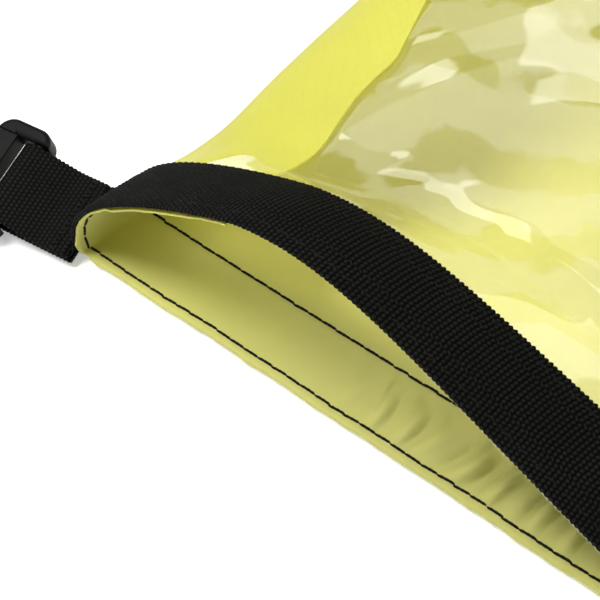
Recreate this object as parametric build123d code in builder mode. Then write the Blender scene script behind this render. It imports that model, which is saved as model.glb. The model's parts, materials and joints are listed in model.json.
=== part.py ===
from build123d import *
import math
import os

# Roll-top dry bag with a clear front window, lying on its back with the mouth open.
# X runs along the mouth, Y from the mouth to the round base, and Z up.
# The origin is the middle of the back webbing's underside, which lies on the ground.
# All lengths are in millimetres.

# Driving dimensions of the bag
mouth_width = 204
base_diameter = 136
bag_length = 370
fold_distance = 47
fold_height = 38
body_shift = 7
fill_length = 91
fabric_thick = 0.6
film_thick = 0.5
base_thick = 0.8
tape_thick = 0.3
tape_width = 10
layer_gap = 0.2
joint_gap = 0.15

# Shares of the front's width, from the left side line to the right one
strip_share = 0.19
weld_share = 0.035
seam_gap = 0.01

# Shape of the cross-sections
fold_side_share = 0.38
base_side_share = 0.5
flat_power = 6
fold_power = 4
round_power = 2
blend_power = 2.5
path_steps = 60

# Driving dimensions of the webbing and its stitches
webbing_width = 25
webbing_thick = 1.5
lip = 1.5
row_inset = 2.5
stitch_pitch = 5
stitch_length = 4.2
thread = 0.5
stitch_rise = 0.25
row_start = 0.02
row_end = 0.98
tack_length = 2.4
tack_pitch = 1.6
tack_count = 15

# Driving dimensions of the straps and the buckle
left_yaw = 8
left_roll = 18
left_lift = 1.2
strap_front = 17.5
strap_start = 4
layers_meet = 12
bar_reach = 26.5
bar_radius = 2.2
bar_clearance = 0.3
loop_ground_gap = 0.4
buckle_width = 35.5
slot_width = 26.5
rail_thick = 7.6

# The mouth's front edge, as two curves that meet level at the top of the arch.
# Each point is the distance from the left corner and the height above the back panel.
arch_rise = [(0, 0), (-4, 31), (52, 55), (74, 55)]
arch_fall = [(74, 55), (108, 55), (158, 16), (mouth_width, 0)]

# Derived dimensions
mouth_y = -(lip + webbing_width / 2)
panel_base = webbing_thick + layer_gap / 2
panel_top = panel_base + fabric_thick
girth = math.pi * base_diameter
film_high = -(fabric_thick + layer_gap)
film_low = film_high - film_thick
webbing_low = layer_gap
webbing_high = webbing_low + webbing_thick
row_near = lip + row_inset
row_far = lip + webbing_width - row_inset
film_start = strip_share - weld_share
buckle_z = bar_radius + bar_clearance + webbing_thick + loop_ground_gap

os.makedirs("parts", exist_ok=True)


def y_at(distance):
    """Y of a cross-section that lies at a distance from the mouth's edge."""
    return mouth_y + distance


def bezier(points, t):
    """Point on a cubic Bezier curve, as (x, z)."""
    weights = ((1 - t) ** 3, 3 * t * (1 - t) ** 2, 3 * t * t * (1 - t), t**3)
    x = sum(w * p[0] for w, p in zip(weights, points))
    z = sum(w * p[1] for w, p in zip(weights, points))
    return x, z


def along(path, fraction):
    """Point at a fraction of a polyline's length."""
    lengths = [math.dist(a, b) for a, b in zip(path, path[1:])]
    left = fraction * sum(lengths)
    for a, b, length in zip(path, path[1:], lengths):
        if left <= length:
            share = left / length
            return a[0] + (b[0] - a[0]) * share, a[1] + (b[1] - a[1]) * share
        left -= length
    return path[-1]


def tangent(path, fraction):
    """Unit direction of travel along a polyline at a fraction of its length."""
    step = 0.012
    before = along(path, max(fraction - step, 0))
    after = along(path, min(fraction + step, 1))
    length = math.dist(before, after)
    return (after[0] - before[0]) / length, (after[1] - before[1]) / length


def off_path(path, fraction, distance):
    """Point that stands off a path by a distance, outward from the bag."""
    x, z = along(path, fraction)
    dx, dz = tangent(path, fraction)
    return x - dz * distance, z + dx * distance


def bag_height(distance):
    """Height of the body, which fills out from the fold to the round base."""
    filled = 1 - math.exp(-(distance - fold_distance) / fill_length)
    whole = 1 - math.exp(-(bag_length - fold_distance) / fill_length)
    return fold_height + (base_diameter - fold_height) * filled / whole


def half_width(height):
    """Half width of an oval of this height whose edge is as long as the bag's girth."""
    b = height / 2
    a = girth / 4
    for _ in range(12):
        edge = math.pi * (3 * (a + b) - math.sqrt((3 * a + b) * (a + 3 * b)))
        a += (girth - edge) / 4
    return a


def roundness(distance):
    """0 at the fold, where the body is flat, and 1 at the round base."""
    return (bag_height(distance) - fold_height) / (base_diameter - fold_height)


def side_height(distance):
    """Height of the side line, where the body is widest."""
    rise = (base_side_share - fold_side_share) * roundness(distance)
    return bag_height(distance) * (fold_side_share + rise)


def body_front(distance):
    """Outer path over the body, from its left side line to its right one."""
    a = half_width(bag_height(distance))
    low = side_height(distance)
    rise = bag_height(distance) - low
    path = []
    for i in range(path_steps + 1):
        turn = math.pi * i / path_steps
        path.append((body_shift - a * math.cos(turn), low + rise * math.sin(turn)))
    return path


def under_path(half, centre, floor, low, power):
    """Outer path under the bag, from its right side line to its left one.
    Power 2 gives half an ellipse, and a higher power a flatter floor."""
    path = []
    for i in range(path_steps + 1):
        turn = math.pi * i / path_steps
        reach = math.copysign(abs(math.cos(turn)) ** (2 / power), math.cos(turn))
        drop = abs(math.sin(turn)) ** (2 / power)
        path.append((centre + half * reach, low - (low - floor) * drop))
    return path


def body_back(distance):
    """Outer path under the body, flat near the fold and round at the base."""
    power = fold_power + (round_power - fold_power) * roundness(distance)
    half = half_width(bag_height(distance))
    return under_path(half, body_shift, 0, side_height(distance), power)


def mouth_arch():
    """Outer path of the mouth's front edge, from the left corner to the right one."""
    rise = [bezier(arch_rise, i / path_steps) for i in range(path_steps)]
    fall = [bezier(arch_fall, i / path_steps) for i in range(path_steps + 1)]
    return [(x - mouth_width / 2, z + panel_top) for x, z in rise + fall]


def blend_share(distance):
    """How far a section of the mouth band has turned into the fold's section."""
    return (distance / fold_distance) ** blend_power


def band_front(distance):
    """Outer path over the mouth band, part arch and part fold."""
    share = blend_share(distance)
    arch = mouth_arch()
    fold = body_front(fold_distance)
    path = []
    for i in range(path_steps + 1):
        ax, az = along(arch, i / path_steps)
        fx, fz = along(fold, i / path_steps)
        path.append((ax + (fx - ax) * share, az + (fz - az) * share))
    return path


def band_back(distance):
    """Outer path under the mouth band, which lies on the webbing and then on the ground."""
    share = blend_share(distance)
    left = band_front(distance)[0]
    right = band_front(distance)[-1]
    webbing_end = lip + webbing_width
    off_webbing = max(0, (distance - webbing_end) / (fold_distance - webbing_end))
    floor = panel_base * (1 - off_webbing)
    low = panel_base + (side_height(fold_distance) - panel_base) * share
    half = (right[0] - left[0]) / 2
    centre = (right[0] + left[0]) / 2
    power = flat_power + (fold_power - flat_power) * share
    return under_path(half, centre, floor, max(low, floor), power)


def ribbon(path, start, end, low, high, spans=8):
    """Flat outline that follows a path between two fractions and two stand-offs."""
    shares = [start + (end - start) * i / spans for i in range(spans + 1)]
    inner = [off_path(path, share, low) for share in shares]
    outer = [off_path(path, share, high) for share in shares]
    with BuildSketch() as outline:
        with BuildLine():
            Spline(*inner)
            Line(inner[-1], outer[-1])
            Spline(*reversed(outer))
            Line(outer[0], inner[0])
        make_face()
    return outline.sketch


def section_plane(distance):
    """Upright plane across the bag at a distance from the mouth's edge."""
    return Plane.XZ.offset(-y_at(distance))


body_stations = [fold_distance + joint_gap, 62, 85, 120, 175, 260, bag_length]
band_stations = [0, 10, 19, 27, 34, 41, fold_distance - joint_gap]
webbing_stations = [lip, 10, 19, lip + webbing_width]

# ---- Body: the part of the bag behind the fold ----

with BuildPart() as back_panel:
    for distance in body_stations:
        with BuildSketch(section_plane(distance)):
            add(ribbon(body_back(distance), 0, 1, -fabric_thick, 0, spans=14))
    loft(ruled=True)
back_panel.part.label = "back_panel"
export_step(back_panel.part, "parts/back_panel.step")

with BuildPart() as left_side_strip:
    for distance in body_stations:
        with BuildSketch(section_plane(distance)):
            add(ribbon(body_front(distance), seam_gap, strip_share, -fabric_thick, 0))
    loft(ruled=True)
left_side_strip.part.label = "left_side_strip"
export_step(left_side_strip.part, "parts/left_side_strip.step")

with BuildPart() as right_side_strip:
    for distance in body_stations:
        with BuildSketch(section_plane(distance)):
            add(ribbon(body_front(distance), 1 - strip_share, 1 - seam_gap, -fabric_thick, 0))
    loft(ruled=True)
right_side_strip.part.label = "right_side_strip"
export_step(right_side_strip.part, "parts/right_side_strip.step")

with BuildPart() as clear_window:
    for distance in body_stations:
        with BuildSketch(section_plane(distance)):
            film = (film_start, 1 - film_start)
            add(ribbon(body_front(distance), *film, film_low, film_high, spans=10))
    loft(ruled=True)
clear_window.part.label = "clear_window"
export_step(clear_window.part, "parts/clear_window.step")

base_plane = section_plane(bag_length)
base_centre = (body_shift, base_diameter / 2)
tape_outside = base_diameter / 2 + film_low - 4 * layer_gap

with BuildPart() as base_panel:
    with BuildSketch(base_plane):
        with Locations(base_centre):
            Circle(base_diameter / 2)
    extrude(amount=-base_thick)
base_panel.part.label = "base_panel"
export_step(base_panel.part, "parts/base_panel.step")

with BuildPart() as base_seam_tape:
    with BuildSketch(base_plane.offset(layer_gap)):
        with Locations(base_centre):
            Circle(tape_outside)
            Circle(tape_outside - tape_thick, mode=Mode.SUBTRACT)
    extrude(amount=tape_width)
base_seam_tape.part.label = "base_seam_tape"
export_step(base_seam_tape.part, "parts/base_seam_tape.step")

# ---- Mouth band: the part of the bag that folds up when the mouth is rolled ----

with BuildPart() as mouth_back_panel:
    for distance in band_stations:
        with BuildSketch(section_plane(distance)):
            add(ribbon(band_back(distance), 0, 1, -fabric_thick, 0, spans=14))
    loft(ruled=True)
mouth_back_panel.part.label = "mouth_back_panel"
export_step(mouth_back_panel.part, "parts/mouth_back_panel.step")

with BuildPart() as mouth_left_strip:
    for distance in band_stations:
        with BuildSketch(section_plane(distance)):
            add(ribbon(band_front(distance), seam_gap, strip_share, -fabric_thick, 0, spans=12))
    loft(ruled=True)
mouth_left_strip.part.label = "mouth_left_strip"
export_step(mouth_left_strip.part, "parts/mouth_left_strip.step")

with BuildPart() as mouth_right_strip:
    for distance in band_stations:
        with BuildSketch(section_plane(distance)):
            strip = (1 - strip_share, 1 - seam_gap)
            add(ribbon(band_front(distance), *strip, -fabric_thick, 0, spans=12))
    loft(ruled=True)
mouth_right_strip.part.label = "mouth_right_strip"
export_step(mouth_right_strip.part, "parts/mouth_right_strip.step")

with BuildPart() as mouth_window:
    for distance in band_stations:
        with BuildSketch(section_plane(distance)):
            film = (film_start, 1 - film_start)
            add(ribbon(band_front(distance), *film, film_low, film_high, spans=10))
    loft(ruled=True)
mouth_window.part.label = "mouth_window"
export_step(mouth_window.part, "parts/mouth_window.step")

with BuildPart() as front_webbing:
    for distance in webbing_stations:
        with BuildSketch(section_plane(distance)):
            add(ribbon(band_front(distance), 0, 1, webbing_low, webbing_high, spans=36))
    loft(ruled=True)
front_webbing.part.label = "front_webbing"
export_step(front_webbing.part, "parts/front_webbing.step")

with BuildPart() as back_webbing:
    with BuildSketch():
        Rectangle(mouth_width, webbing_width)
    extrude(amount=webbing_thick)
back_webbing.part.label = "back_webbing"
export_step(back_webbing.part, "parts/back_webbing.step")


def stitch_places(path, distance, stand_off, start, end):
    """Places of the stitches of one row, turned to lie along the path."""
    length = sum(math.dist(a, b) for a, b in zip(path, path[1:]))
    count = int(length * (end - start) / stitch_pitch)
    places = []
    for i in range(count + 1):
        share = start + (end - start) * i / count
        x, z = off_path(path, share, stand_off)
        dx, dz = tangent(path, share)
        slope = -math.degrees(math.atan2(dz, dx))
        places.append(Location((x, y_at(distance), z), (0, slope, 0)))
    return places


inside = -(fabric_thick + stitch_rise / 2)
outside = webbing_high + stitch_rise / 2

with BuildPart() as back_outer_stitches:
    with Locations(*stitch_places(band_back(row_near), row_near, inside, row_start, row_end)):
        Box(stitch_length, thread, stitch_rise)
back_outer_stitches.part.label = "back_outer_stitches"
export_step(back_outer_stitches.part, "parts/back_outer_stitches.step")

with BuildPart() as back_inner_stitches:
    with Locations(*stitch_places(band_back(row_far), row_far, inside, row_start, row_end)):
        Box(stitch_length, thread, stitch_rise)
back_inner_stitches.part.label = "back_inner_stitches"
export_step(back_inner_stitches.part, "parts/back_inner_stitches.step")

with BuildPart() as front_outer_stitches:
    with Locations(*stitch_places(band_front(row_near), row_near, outside, row_start, row_end)):
        Box(stitch_length, thread, stitch_rise)
front_outer_stitches.part.label = "front_outer_stitches"
export_step(front_outer_stitches.part, "parts/front_outer_stitches.step")

with BuildPart() as front_inner_stitches:
    with Locations(*stitch_places(band_front(row_far), row_far, outside, row_start, row_end)):
        Box(stitch_length, thread, stitch_rise)
front_inner_stitches.part.label = "front_inner_stitches"
export_step(front_inner_stitches.part, "parts/front_inner_stitches.step")

# ---- Straps: the webbing's ends, each looped round the end bar of a buckle half ----


def strap_planes(side, yaw_degrees, roll_degrees, lift):
    """Planes along and across a strap; side is -1 for left and 1 for right.
    Both have X out along the strap. The strap's front edge lies at a lift above the
    ground beside the mouth's corner, and its rear edge is raised by the roll."""
    yaw = math.radians(yaw_degrees)
    roll = math.radians(roll_degrees)
    out = Vector(side * math.cos(yaw), -math.sin(yaw), 0)
    rear = Vector(side * math.sin(yaw), math.cos(yaw), 0)
    up = Vector(0, 0, 1)
    across = rear * math.cos(roll) + up * math.sin(roll)
    normal = up * math.cos(roll) - rear * math.sin(roll)
    front_edge = Vector(side * mouth_width / 2, -strap_front, lift)
    middle = front_edge + across * (webbing_width / 2)
    level = Plane(origin=middle, x_dir=out, z_dir=normal)
    upright = Plane(origin=middle, x_dir=out, z_dir=out.cross(normal))
    return level, upright


loop_radius = bar_radius + bar_clearance + webbing_thick / 2
low_layer = webbing_thick / 2
high_layer = 3 * webbing_thick / 2 + layer_gap


def strap_outline():
    """Side view of a strap: two layers that part to go round the buckle's end bar."""
    with BuildSketch() as outline:
        with BuildLine():
            Line((strap_start, low_layer), (bar_reach, buckle_z - loop_radius))
            ThreePointArc(
                (bar_reach, buckle_z - loop_radius),
                (bar_reach + loop_radius, buckle_z),
                (bar_reach, buckle_z + loop_radius),
            )
            Line((bar_reach, buckle_z + loop_radius), (layers_meet, high_layer))
            Line((layers_meet, high_layer), (strap_start, high_layer))
        trace(line_width=webbing_thick)
    return outline.sketch


left_level, left_upright = strap_planes(-1, left_yaw, left_roll, left_lift)
right_level, right_upright = strap_planes(1, 0, 0, 0)

with BuildPart() as left_strap:
    with BuildSketch(left_upright):
        add(strap_outline())
    extrude(amount=webbing_width / 2, both=True)
left_strap.part.label = "left_strap"
export_step(left_strap.part, "parts/left_strap.step")

with BuildPart() as right_strap:
    with BuildSketch(right_upright):
        add(strap_outline())
    extrude(amount=webbing_width / 2, both=True)
right_strap.part.label = "right_strap"
export_step(right_strap.part, "parts/right_strap.step")

tack_z = high_layer + webbing_thick / 2 + stitch_rise / 2
tack_x = strap_start + 2.5
tack_edge = tack_pitch * (tack_count - 1) / 2
tack_spots = [(tack_x, tack_pitch * i - tack_edge) for i in range(tack_count)]

with BuildPart() as left_bar_tack:
    with Locations(left_level.offset(tack_z)):
        with Locations(*tack_spots):
            Box(tack_length, thread, stitch_rise)
left_bar_tack.part.label = "left_bar_tack"
export_step(left_bar_tack.part, "parts/left_bar_tack.step")

with BuildPart() as right_bar_tack:
    with Locations(right_level.offset(tack_z)):
        with Locations(*tack_spots):
            Box(tack_length, thread, stitch_rise)
right_bar_tack.part.label = "right_bar_tack"
export_step(right_bar_tack.part, "parts/right_bar_tack.step")

# ---- Buckle: the two halves of a side-release buckle, each on its strap's end bar ----

rail_start = bar_reach - 3.6
bridge_start = bar_reach + 7.5
bridge_end = bridge_start + 7
bridge_recess = 0.9
slot_half = slot_width / 2
frame_round = 5
edge_fillet = 1.4
guide_half = 4.5
guide_length = 25
guide_thick = 4
arm_pivot_x = bridge_end + 2.5
arm_pivot_y = 10.5
arm_round = 2.1
arm_thick = 5
arm_chamfer = 0.5
arm_end = bridge_end + 29
tip_inside = 9
tip_middle = 10.8
tip_outside = 12.8
barb_back = bridge_end + 19
barb_top = barb_back + 2.5
barb_half = buckle_width / 2 - 0.6
barb_root = 13.4
housing_thick = 8.6
housing_round = 3
housing_length = 38
socket_width = 27
socket_height = 5.8
socket_wall = 9
window_start = bridge_start + 17
window_length = 14


def buckle_frame(level, frame_end, thick):
    """Side rails with a round end bar between them, for the strap's loop."""
    with BuildPart() as frame:
        with BuildSketch(level.offset(buckle_z)):
            with Locations(((rail_start + frame_end) / 2, 0)):
                RectangleRounded(frame_end - rail_start, buckle_width, frame_round)
            with Locations(((rail_start + bridge_start) / 2 - 1, 0)):
                Rectangle(bridge_start - rail_start + 2, slot_width, mode=Mode.SUBTRACT)
        extrude(amount=thick / 2, both=True)
        upward = Axis(level.origin, level.z_dir)
        fillet(frame.edges().group_by(upward)[-1], edge_fillet)
        fillet(frame.edges().group_by(upward)[0], edge_fillet)
        bar_end = level.from_local_coords((bar_reach, -slot_half - 0.5, buckle_z))
        with BuildSketch(Plane(origin=bar_end, x_dir=level.x_dir, z_dir=level.y_dir)):
            Circle(bar_radius)
        extrude(amount=slot_width + 1)
    return frame.part


with BuildPart() as male_buckle:
    add(buckle_frame(left_level, bridge_end, rail_thick))
    for face_z in (buckle_z - rail_thick / 2, buckle_z + rail_thick / 2 - bridge_recess):
        with BuildSketch(left_level.offset(face_z)):
            with Locations(((bridge_start + bridge_end) / 2, 0)):
                Rectangle(bridge_end - bridge_start + 2, slot_width)
        extrude(amount=bridge_recess, mode=Mode.SUBTRACT)
    with BuildSketch(left_level.offset(buckle_z)):
        with Locations((bridge_end + guide_length / 2 - 1, 0)):
            Rectangle(guide_length + 2, 2 * guide_half)
        with Locations((bridge_end + guide_length, 0)):
            Circle(guide_half)
    extrude(amount=guide_thick / 2, both=True)
male_buckle.part.label = "male_buckle"
export_step(male_buckle.part, "parts/male_buckle.step")


def release_arm(side):
    """Springy side arm of the male half, with a barb that catches in the female half."""
    root_in = side * (arm_pivot_y - arm_round)
    root_out = side * (arm_pivot_y + arm_round)
    tip_in = (arm_end - 2, side * tip_inside)
    tip_out = (arm_end - 1.5, side * tip_outside)
    with BuildPart() as arm:
        with BuildSketch(left_level.offset(buckle_z)):
            with BuildLine():
                Line((arm_pivot_x, root_in), tip_in)
                ThreePointArc(tip_in, (arm_end, side * tip_middle), tip_out)
                Polyline(
                    tip_out,
                    (barb_top, side * barb_half),
                    (barb_back, side * barb_half),
                    (barb_back, side * barb_root),
                    (arm_pivot_x, root_out),
                )
                ThreePointArc(
                    (arm_pivot_x, root_out),
                    (arm_pivot_x - arm_round, side * arm_pivot_y),
                    (arm_pivot_x, root_in),
                )
            make_face()
        extrude(amount=arm_thick / 2, both=True)
        upward = Axis(left_level.origin, left_level.z_dir)
        chamfer(arm.edges().group_by(upward)[-1], arm_chamfer)
        chamfer(arm.edges().group_by(upward)[0], arm_chamfer)
    return arm.part


with BuildPart() as front_release_arm:
    add(release_arm(1))
front_release_arm.part.label = "front_release_arm"
export_step(front_release_arm.part, "parts/front_release_arm.step")

with BuildPart() as rear_release_arm:
    add(release_arm(-1))
rear_release_arm.part.label = "rear_release_arm"
export_step(rear_release_arm.part, "parts/rear_release_arm.step")

with BuildPart() as female_buckle:
    with BuildSketch(right_level.offset(buckle_z)):
        with Locations((bridge_start + housing_length / 2, 0)):
            RectangleRounded(housing_length, buckle_width, housing_round)
    extrude(amount=housing_thick / 2, both=True)
    fillet(female_buckle.edges().group_by(Axis.Z)[-1], edge_fillet)
    fillet(female_buckle.edges().group_by(Axis.Z)[0], edge_fillet)
    with BuildSketch(right_level.offset(buckle_z)):
        with Locations((bridge_start + socket_wall + housing_length / 2, 0)):
            Rectangle(housing_length, socket_width)
    extrude(amount=socket_height / 2, both=True, mode=Mode.SUBTRACT)
    with BuildSketch(right_level.offset(buckle_z)):
        with Locations((window_start + window_length / 2, 0)):
            Rectangle(window_length, buckle_width + 2)
    extrude(amount=socket_height / 2, both=True, mode=Mode.SUBTRACT)
    add(buckle_frame(right_level, bridge_start + 6, rail_thick))
female_buckle.part.label = "female_buckle"
export_step(female_buckle.part, "parts/female_buckle.step")
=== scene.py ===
import json
import math

import bpy
import numpy as np
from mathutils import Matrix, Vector


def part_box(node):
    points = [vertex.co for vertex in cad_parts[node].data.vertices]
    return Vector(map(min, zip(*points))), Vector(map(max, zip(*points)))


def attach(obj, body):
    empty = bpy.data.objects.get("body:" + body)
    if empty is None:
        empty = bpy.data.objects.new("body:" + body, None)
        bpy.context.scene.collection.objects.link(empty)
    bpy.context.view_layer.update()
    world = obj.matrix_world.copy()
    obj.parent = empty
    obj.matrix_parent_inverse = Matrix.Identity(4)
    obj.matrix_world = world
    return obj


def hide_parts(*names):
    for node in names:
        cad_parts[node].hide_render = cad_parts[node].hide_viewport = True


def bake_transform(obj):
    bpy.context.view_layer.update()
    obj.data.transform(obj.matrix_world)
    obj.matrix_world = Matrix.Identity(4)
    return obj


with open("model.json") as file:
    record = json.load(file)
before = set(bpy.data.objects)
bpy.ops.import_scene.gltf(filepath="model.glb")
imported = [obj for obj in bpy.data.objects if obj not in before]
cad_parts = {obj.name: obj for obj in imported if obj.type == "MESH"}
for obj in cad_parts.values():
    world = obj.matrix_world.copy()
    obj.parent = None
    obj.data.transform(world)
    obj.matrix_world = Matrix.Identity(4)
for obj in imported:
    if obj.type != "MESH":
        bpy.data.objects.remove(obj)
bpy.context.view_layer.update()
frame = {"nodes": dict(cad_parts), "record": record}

mm = 0.001

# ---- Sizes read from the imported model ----

web_low, web_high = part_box("back_webbing")
base_low, base_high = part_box("base_panel")
mouth_half = web_high.x
web_thick = web_high.z
web_width = web_high.y - web_low.y
girth = math.pi * (base_high.x - base_low.x)
base_round = (base_high.x - base_low.x) / 2
base_x = (base_high.x + base_low.x) / 2

# ---- Shape of the bag, close to the CAD's cross-sections ----

lip = 1.5 * mm
mouth_y = web_low.y - lip
bag_length = base_low.y - mouth_y
fold_distance = 47 * mm
fold_height = 38 * mm
fill_length = 91 * mm
layer_gap = 0.2 * mm
fabric_thick = 0.6 * mm
film_thick = 0.5 * mm
panel_base = web_thick + layer_gap / 2
panel_top = panel_base + fabric_thick
film_share = 0.155
front_width = 223 * mm
cloth_width = 289 * mm

# The side strips' shares of the front's width, by distance from the mouth in millimetres
left_strip = [(0, 0.34), (20, 0.30), (34, 0.245), (42, 0.232), (53, 0.21)]
left_strip += [(61, 0.217), (71, 0.242), (85, 0.228), (120, 0.2), (370, 0.19)]
right_strip = [(0, 0.165), (40, 0.18), (80, 0.19), (370, 0.19)]

# Distances of the two stitch rows from the mouth
row_near = 3 * mm
row_far = 24 * mm
front_row_far = row_far - 2.2 * mm

# Bezier curves of the open mouth's arch in millimetres, from its left corner
arch_rise = [(0, 0), (-10, 26), (58, 52.9), (59.7, 53.3)]
arch_fall = [(59.7, 53.3), (94, 61.6), (112, 40.5), (204, 0)]
blend_power = 1.9
path_steps = 160
side_draw = 5 * mm

# The webbing's place and weave
web_start = -0.6 * mm
web_step = 0.33 * mm
rib = 1.35 * mm
bead = 1.25 * mm

joints = {joint["name"]: joint for joint in frame["record"]["behaviour"]["joints"]}


def bezier(points, t):
    """Points on a cubic Bezier curve in the plane."""
    t = np.asarray(t)[:, None]
    p = np.array(points, float)
    return (1 - t) ** 3 * p[0] + 3 * t * (1 - t) ** 2 * p[1] + 3 * t * t * (1 - t) * p[2] + t**3 * p[3]


def along(path, shares):
    """Points at shares of a polyline's length."""
    steps = np.linalg.norm(np.diff(path, axis=0), axis=1)
    run = np.concatenate([[0], np.cumsum(steps)])
    run /= run[-1]
    return np.stack([np.interp(shares, run, path[:, i]) for i in range(path.shape[1])], axis=1)


def bag_height(v):
    """Height of the body, which fills out from the fold to the round base."""
    filled = 1 - math.exp(-(v - fold_distance) / fill_length)
    whole = 1 - math.exp(-(bag_length - fold_distance) / fill_length)
    return fold_height + (2 * base_round - fold_height) * filled / whole


def half_width(height):
    """Half width of an oval of this height whose edge is as long as the bag's girth."""
    b = height / 2
    a = girth / 4
    for _ in range(12):
        edge = math.pi * (3 * (a + b) - math.sqrt((3 * a + b) * (a + 3 * b)))
        a += (girth - edge) / 4
    return a


def roundness(v):
    """0 at the fold, where the body is flat, and 1 at the round base."""
    return (bag_height(v) - fold_height) / (2 * base_round - fold_height)


def side_height(v):
    """Height of the side line, where the body is widest."""
    return bag_height(v) * (0.33 + 0.17 * roundness(v))


def body_front(v):
    """Path over the body, from its left side line to its right one."""
    turn = np.linspace(0, math.pi, path_steps + 1)
    low = side_height(v)
    x = base_x - half_width(bag_height(v)) * np.cos(turn)
    return np.stack([x, low + (bag_height(v) - low) * np.sin(turn)], axis=1)


def under_path(half, centre, floor, low, power):
    """Path under the bag, from its right side line to its left one."""
    turn = np.linspace(0, math.pi, path_steps + 1)
    out = np.copysign(np.abs(np.cos(turn)) ** (2 / power), np.cos(turn))
    drop = np.abs(np.sin(turn)) ** (2 / power)
    return np.stack([centre + half * out, low - (low - floor) * drop], axis=1)


def body_back(v):
    """Path under the body, flat near the fold and round at the base."""
    half = half_width(bag_height(v))
    return under_path(half, base_x, 0, side_height(v), 4 - 2 * roundness(v))


def band_front(v):
    """Path over the mouth band, part arch and part fold."""
    share = (max(v, 0) / fold_distance) ** blend_power
    t = np.linspace(0, 1, path_steps + 1)
    arch = np.concatenate([bezier(arch_rise, t[:-1]), bezier(arch_fall, t)]) * mm
    arch = arch + np.array([-mouth_half, panel_top])
    arch = along(arch, t)
    fold = along(body_front(fold_distance), t)
    return arch + (fold - arch) * share


def band_back(v):
    """Path under the mouth band, which lies on the webbing and then on the ground."""
    share = (max(v, 0) / fold_distance) ** blend_power
    front = band_front(v)
    web_end = lip + web_width
    off_webbing = max(0, (v - web_end) / (fold_distance - web_end))
    floor = panel_base * (1 - off_webbing)
    low = panel_base + (side_height(fold_distance) - panel_base) * share
    half = (front[-1, 0] - front[0, 0]) / 2
    centre = (front[-1, 0] + front[0, 0]) / 2
    return under_path(half, centre, floor, max(low, floor), 6 - 2 * share)


def drawn_in(path, v):
    """The body's left side hangs a little inwards between the fold and the base."""
    grow = np.clip((v - fold_distance) / (60 * mm), 0, 1)
    fade = np.clip((bag_length - 20 * mm - v) / (100 * mm), 0, 1)
    near = 1 - np.clip((path[:, 0] + 110 * mm) / (120 * mm), 0, 1)
    moved = path.copy()
    moved[:, 0] += side_draw * grow * fade * near
    return moved


def front_path(v):
    """Path over the bag from its left side line to its right one, at a distance from the mouth."""
    return band_front(v) if v < fold_distance else drawn_in(body_front(v), v)


def back_path(v):
    """Path under the bag from its right side line to its left one."""
    return band_back(v) if v < fold_distance else drawn_in(body_back(v), v)


def share_at(table, v):
    """A share read from a table of distances from the mouth in millimetres."""
    places, shares = zip(*table)
    return np.interp(v / mm, places, shares)


# ---- Smooth noise and grid tools ----


def noise(x, y, seed):
    """Smooth gradient noise from about -1 to 1, always the same for a seed."""
    rng = np.random.default_rng(seed)
    size = 64
    turn = rng.uniform(0, 2 * math.pi, (size, size))
    gx, gy = np.cos(turn), np.sin(turn)
    x0, y0 = np.floor(x).astype(int), np.floor(y).astype(int)
    fx, fy = x - x0, y - y0

    def corner(i, j):
        a, b = (x0 + i) % size, (y0 + j) % size
        return gx[a, b] * (fx - i) + gy[a, b] * (fy - j)

    sx = fx**3 * (fx * (fx * 6 - 15) + 10)
    sy = fy**3 * (fy * (fy * 6 - 15) + 10)
    low = corner(0, 0) + (corner(1, 0) - corner(0, 0)) * sx
    high = corner(0, 1) + (corner(1, 1) - corner(0, 1)) * sx
    return 1.5 * (low + (high - low) * sy)


def smooth_rows(points, spread):
    """Gaussian smoothing along the first axis, which leaves the two ends where they are."""
    reach = int(3 * spread) + 1
    weights = np.exp(-0.5 * (np.arange(-reach, reach + 1) / spread) ** 2)
    weights /= weights.sum()
    before = 2 * points[:1] - points[reach:0:-1]
    after = 2 * points[-1:] - points[-2 : -reach - 2 : -1]
    padded = np.concatenate([before, points, after])
    return sum(w * padded[i : i + len(points)] for i, w in enumerate(weights))


def step(edge0, edge1, x):
    """Smooth rise from 0 to 1 between two edges."""
    t = np.clip((x - edge0) / (edge1 - edge0), 0, 1)
    return t * t * (3 - 2 * t)


def bump_at(x, centre, width):
    """Bell curve with its top of 1 at a centre."""
    return np.exp(-(((x - centre) / width) ** 2))


def normals_of(grid):
    """Unit normals of a grid of points whose rows run along the bag."""
    along_u = np.gradient(grid, axis=1)
    along_v = np.gradient(grid, axis=0)
    n = np.cross(along_u, along_v)
    return n / np.maximum(np.linalg.norm(n, axis=2, keepdims=True), 1e-12)


def to_object(name, verts, faces, mats, slots, uv, flat=()):
    """Mesh object from points, faces, materials, face slots, point UVs and flat-shaded faces."""
    mesh = bpy.data.meshes.new(name)
    mesh.from_pydata(verts.tolist(), [], faces)
    for mat in mats:
        mesh.materials.append(mat)
    mesh.polygons.foreach_set("material_index", slots)
    smooth = np.ones(len(faces), bool)
    smooth[list(flat)] = False
    mesh.polygons.foreach_set("use_smooth", smooth)
    layer = mesh.uv_layers.new(name="UVMap")
    corner = np.zeros(len(mesh.loops), int)
    mesh.loops.foreach_get("vertex_index", corner)
    layer.data.foreach_set("uv", uv[corner].astype(np.float32).ravel())
    mesh.update()
    thing = bpy.data.objects.new(name, mesh)
    bpy.context.scene.collection.objects.link(thing)
    return thing


def quads(rows, cols, first, flip=False):
    """Faces of a grid of points that starts at an index."""
    i, j = np.meshgrid(np.arange(rows - 1), np.arange(cols - 1), indexing="ij")
    a = first + i * cols + j
    face = [a, a + 1, a + cols + 1, a + cols]
    if flip:
        face = face[::-1]
    return np.stack(face, axis=-1).reshape(-1, 4)


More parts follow.
